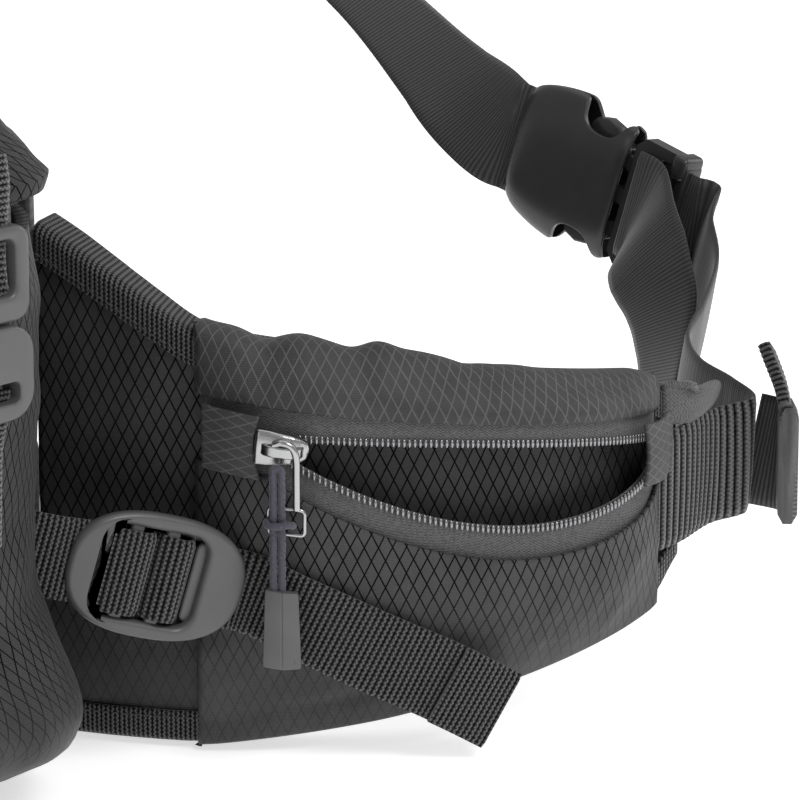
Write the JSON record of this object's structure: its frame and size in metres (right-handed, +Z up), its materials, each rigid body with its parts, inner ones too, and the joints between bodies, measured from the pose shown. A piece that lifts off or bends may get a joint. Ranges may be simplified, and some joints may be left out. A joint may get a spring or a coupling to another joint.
{
  "type": "hiking waist pack",
  "caption": "Padded waist pack with a hinged lid over the main compartment, zipped pockets on the hip wings, side and compression straps and a buckled waist belt.",
  "frame": {"origin": "centre of the outline at floor level, inside the belt loop", "axes": "+X towards the wing with the open pocket, -Y towards the front of the pack, +Z up"},
  "size_m": [0.3476, 0.3855, 0.181],
  "materials": {
    "ripstop": "dark charcoal diamond ripstop",
    "padding": "black mesh over foam",
    "tape": "black knitted tape",
    "webbing": "ribbed black webbing",
    "plastic": "satin dark grey",
    "metal": "nickel plated",
    "cord": "grey violet braid"
  },
  "bodies": {
    "pack": {"back_panel": "padding", "body_strap_left": "webbing", "body_strap_right": "webbing", "compression_tail_left": "webbing", "compression_tail_right": "webbing", "garage_front_left": "ripstop", "garage_front_right": "ripstop", "garage_rear_left": "ripstop", "garage_rear_right": "ripstop", "grab_loop": "webbing", "lid_zip_lower": "tape", "lumbar_pad_left": "padding", "lumbar_pad_right": "padding", "main_body": "ripstop", "pocket_lower_left": "ripstop", "pocket_lower_right": "ripstop", "pocket_upper_left": "ripstop", "pocket_upper_right": "ripstop", "rear_yoke": "ripstop", "side_strap_lower_left": "webbing", "side_strap_lower_right": "webbing", "waist_buckle_socket": "plastic", "waist_strap_left": "webbing", "waist_strap_right": "webbing", "wing_binding_bottom_left": "tape", "wing_binding_bottom_right": "tape", "wing_binding_top_left": "tape", "wing_binding_top_right": "tape", "wing_core_left": "padding", "wing_core_right": "padding", "wing_face_left": "ripstop", "wing_face_right": "ripstop", "zip_half_upper_left": "tape", "zip_half_upper_right": "tape"},
    "lid": {"lid_shell": "ripstop", "lid_zip_upper": "tape", "side_strap_upper_right": "webbing", "side_strap_upper_left": "webbing", "side_buckle_male_right": "plastic", "side_buckle_male_left": "plastic"},
    "lid_zip_runner": {"lid_slider": "metal"},
    "lid_zip_pull": {"lid_puller": "metal"},
    "zip_runner_right": {"pocket_slider_right": "metal"},
    "zip_puller_right": {"pocket_puller_right": "metal"},
    "zip_cord_right": {"pull_cord_right": "cord", "pull_tab_right": "plastic"},
    "zip_lip_right": {"zip_half_lower_right": "tape"},
    "adjuster_right": {"oval_buckle_right": "plastic"},
    "side_socket_right": {"side_buckle_female_right": "plastic"},
    "zip_runner_left": {"pocket_slider_left": "metal"},
    "zip_puller_left": {"pocket_puller_left": "metal"},
    "zip_cord_left": {"pull_cord_left": "cord", "pull_tab_left": "plastic"},
    "zip_lip_left": {"zip_half_lower_left": "tape"},
    "adjuster_left": {"oval_buckle_left": "plastic"},
    "side_socket_left": {"side_buckle_female_left": "plastic"},
    "waist_plug": {"waist_buckle_plug": "plastic", "waist_strap_tail": "webbing"},
    "waist_prong_upper": {"waist_prong_upper": "plastic"},
    "waist_prong_lower": {"waist_prong_lower": "plastic"}
  },
  "joints": [
    {"name": "lid_hinge", "type": "hinge", "parent": "pack", "child": "lid", "pos_m": [0, -0.14, 0.15], "axis": [-1, 0, 0], "range_deg": [0, 80]},
    {"name": "lid_zip_travel", "type": "slide", "parent": "pack", "child": "lid_zip_runner", "axis": [-1, 0, 0], "range_m": [0, 0.12]},
    {"name": "lid_puller_swing", "type": "hinge", "parent": "lid_zip_runner", "child": "lid_zip_pull", "pos_m": [0.06, -0.2391, 0.1465], "axis": [-1, 0, 0], "range_deg": [0, 100]},
    {"name": "pocket_zip_travel_right", "type": "hinge", "parent": "pack", "child": "zip_runner_right", "pos_m": [0.05848, -0.005, 0.07298], "axis": [0.0436, 0.1075, 0.9932], "range_deg": [0, 48.16]},
    {"name": "pocket_puller_swing_right", "type": "hinge", "parent": "zip_runner_right", "child": "zip_puller_right", "pos_m": [0.13167, -0.09017, 0.08034], "axis": [-0.7031, -0.7111, 0], "range_deg": [0, 95]},
    {"name": "pull_cord_swing_right", "type": "hinge", "parent": "zip_puller_right", "child": "zip_cord_right", "pos_m": [0.13195, -0.09045, 0.06184], "axis": [-0.7031, -0.7111, 0], "range_deg": [0, 60]},
    {"name": "pocket_lip_lift_right", "type": "slide", "parent": "pack", "child": "zip_lip_right", "axis": [0, 0, 1], "range_m": [0, 0.0165], "deforming": ["zip_half_lower_right"]},
    {"name": "adjuster_tilt_right", "type": "hinge", "parent": "pack", "child": "adjuster_right", "pos_m": [0.10592, -0.12888, 0.05444], "axis": [-0.1182, -0.2624, -0.9577], "range_deg": [0, 35]},
    {"name": "side_buckle_release_right", "type": "slide", "parent": "pack", "child": "side_socket_right", "axis": [0, 0, -1], "range_m": [0, 0.02], "deforming": ["side_strap_lower_right"]},
    {"name": "pocket_zip_travel_left", "type": "hinge", "parent": "pack", "child": "zip_runner_left", "pos_m": [-0.05848, -0.005, 0.07298], "axis": [0.0436, -0.1075, -0.9932], "range_deg": [-48.16, 0]},
    {"name": "pocket_puller_swing_left", "type": "hinge", "parent": "zip_runner_left", "child": "zip_puller_left", "pos_m": [-0.17081, -0.00822, 0.07002], "axis": [-0.0594, 0.9982, 0], "range_deg": [0, 95]},
    {"name": "pull_cord_swing_left", "type": "hinge", "parent": "zip_puller_left", "child": "zip_cord_left", "pos_m": [-0.17121, -0.00824, 0.05152], "axis": [-0.0594, 0.9982, 0], "range_deg": [0, 60]},
    {"name": "pocket_lip_lift_left", "type": "slide", "parent": "pack", "child": "zip_lip_left", "axis": [0, 0, 1], "range_m": [-0.0165, 0], "deforming": ["zip_half_lower_left"]},
    {"name": "adjuster_tilt_left", "type": "hinge", "parent": "pack", "child": "adjuster_left", "pos_m": [-0.10592, -0.12888, 0.05444], "axis": [-0.1182, 0.2624, 0.9577], "range_deg": [0, 35]},
    {"name": "side_buckle_release_left", "type": "slide", "parent": "pack", "child": "side_socket_left", "axis": [0, 0, -1], "range_m": [0, 0.02], "deforming": ["side_strap_lower_left"]},
    {"name": "waist_buckle_pull_out", "type": "slide", "parent": "pack", "child": "waist_plug", "axis": [0.9721, 0.014, -0.234], "range_m": [0, 0.032], "deforming": ["waist_strap_right"]},
    {"name": "waist_prong_squeeze_upper", "type": "hinge", "parent": "waist_plug", "child": "waist_prong_upper", "pos_m": [0.03862, 0.13335, 0.09409], "axis": [0.0442, -0.9913, 0.1242], "range_deg": [0, 8]},
    {"name": "waist_prong_squeeze_lower", "type": "hinge", "parent": "waist_plug", "child": "waist_prong_lower", "pos_m": [0.03439, 0.13094, 0.07635], "axis": [-0.0442, 0.9913, -0.1242], "range_deg": [0, 8]}
  ],
  "couplings": [
    {"joint": "pocket_lip_lift_right", "follows": "pocket_zip_travel_right", "m_per_rad": 0.019629},
    {"joint": "pocket_lip_lift_left", "follows": "pocket_zip_travel_left", "m_per_rad": 0.019629},
    {"joint": "waist_prong_squeeze_upper", "follows": "waist_buckle_pull_out", "rad_per_m": 4.3088},
    {"joint": "waist_prong_squeeze_lower", "follows": "waist_buckle_pull_out", "rad_per_m": 4.3088}
  ]
}
